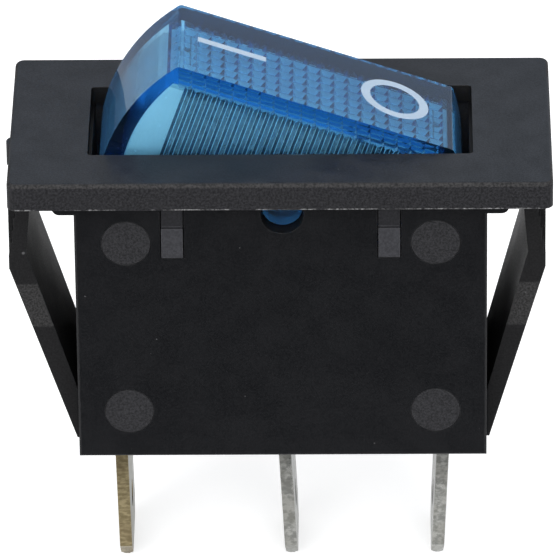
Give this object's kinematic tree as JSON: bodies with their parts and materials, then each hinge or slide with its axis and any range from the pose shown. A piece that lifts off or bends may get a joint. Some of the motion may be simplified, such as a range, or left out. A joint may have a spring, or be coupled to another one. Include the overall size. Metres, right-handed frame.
{
  "type": "illuminated rocker switch",
  "caption": "Snap-in panel switch with a black frame, a see-through blue rocker marked I and O, a lamp inside and blade terminals.",
  "frame": {"origin": "centre of the bezel's underside rim, in the plane of the panel's front", "axes": "+X along the bezel to the O end, +Y away from the side cover, +Z out of the panel towards the rocker"},
  "size_m": [0.0322, 0.0156, 0.0347],
  "materials": {
    "frame_plastic": "fine textured black moulding",
    "body_plastic": "black moulding, lightly textured",
    "lens_blue": "clear blue, polished outside",
    "carrier_white": "white moulding",
    "bulb_glass": "clear glass",
    "resistor_body": "lacquered",
    "tinned_wire": "tinned",
    "contact_strip": "rolled strip",
    "spring_steel": "drawn wire",
    "plunger_nylon": "natural nylon",
    "contact_silver": "silver rivet",
    "terminal_brass": "rolled strip, dull",
    "terminal_tinned": "tin plated brass strip"
  },
  "bodies": {
    "root": {"bezel_frame": "frame_plastic", "housing": "body_plastic", "side_cover": "body_plastic", "terminal_lamp": "terminal_brass", "terminal_line": "terminal_tinned", "terminal_load": "terminal_tinned", "fixed_contact": "contact_silver", "lamp_spring_left": "spring_steel", "lamp_spring_right": "spring_steel"},
    "rocker": {"rocker_lens": "lens_blue", "lamp_carrier": "carrier_white", "lamp_diffuser": "carrier_white", "lamp_bulb": "bulb_glass", "lamp_resistor": "resistor_body", "lamp_lead_left": "tinned_wire", "lamp_lead_right": "tinned_wire", "lamp_link": "tinned_wire", "lamp_contact_left": "contact_strip", "lamp_contact_right": "contact_strip", "plunger_spring": "spring_steel"},
    "plunger": {"plunger": "plunger_nylon"},
    "blade": {"contact_blade": "contact_strip", "moving_contact": "contact_silver"}
  },
  "joints": [
    {"name": "rocker_hinge", "type": "hinge", "parent": "root", "child": "rocker", "pos_m": [0.0001, 0, -0.00125], "axis": [0, -1, 0], "range_deg": [0, 38.6], "deforming": ["lamp_spring_left", "lamp_spring_right"]},
    {"name": "plunger_slide", "type": "slide", "parent": "rocker", "child": "plunger", "axis": [0.3305, 0, 0.9438], "range_m": [0, 0.0008], "stiffness_N_per_m": 300, "springref_m": -0.001, "deforming": ["plunger_spring"]},
    {"name": "blade_rock", "type": "hinge", "parent": "root", "child": "blade", "pos_m": [0, 0, -0.012], "axis": [0, 1, 0], "range_deg": [0, 16]}
  ],
  "couplings": [
    {"joint": "blade_rock", "follows": "rocker_hinge", "ratio": 0.4145}
  ]
}
